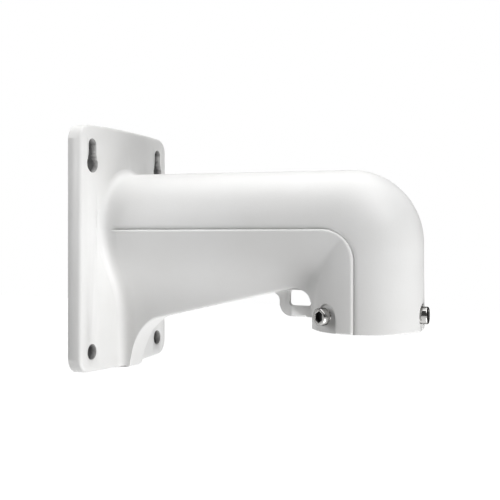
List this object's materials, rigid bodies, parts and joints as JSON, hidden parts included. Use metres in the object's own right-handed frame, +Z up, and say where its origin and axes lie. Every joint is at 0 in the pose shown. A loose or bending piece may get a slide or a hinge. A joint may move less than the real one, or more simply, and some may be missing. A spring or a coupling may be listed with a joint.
{
  "type": "camera wall bracket",
  "caption": "Cast wall bracket: a rectangular plate with keyhole slots and an arm that turns down into an open cup with lock screws, for hanging a dome camera from a wall.",
  "frame": {"origin": "middle of the plate's back face, on the wall", "axes": "+X out of the wall along the arm, +Y to the side, +Z up"},
  "size_m": [0.2469, 0.126, 0.183],
  "materials": {
    "white_coat": "powder coat, satin, fine grain",
    "screw_steel": "stainless steel, lightly polished"
  },
  "bodies": {
    "root": {"bracket_casting": "white_coat", "lock_screw_1": "screw_steel", "lock_screw_2": "screw_steel", "lock_screw_3": "screw_steel"}
  },
  "joints": []
}
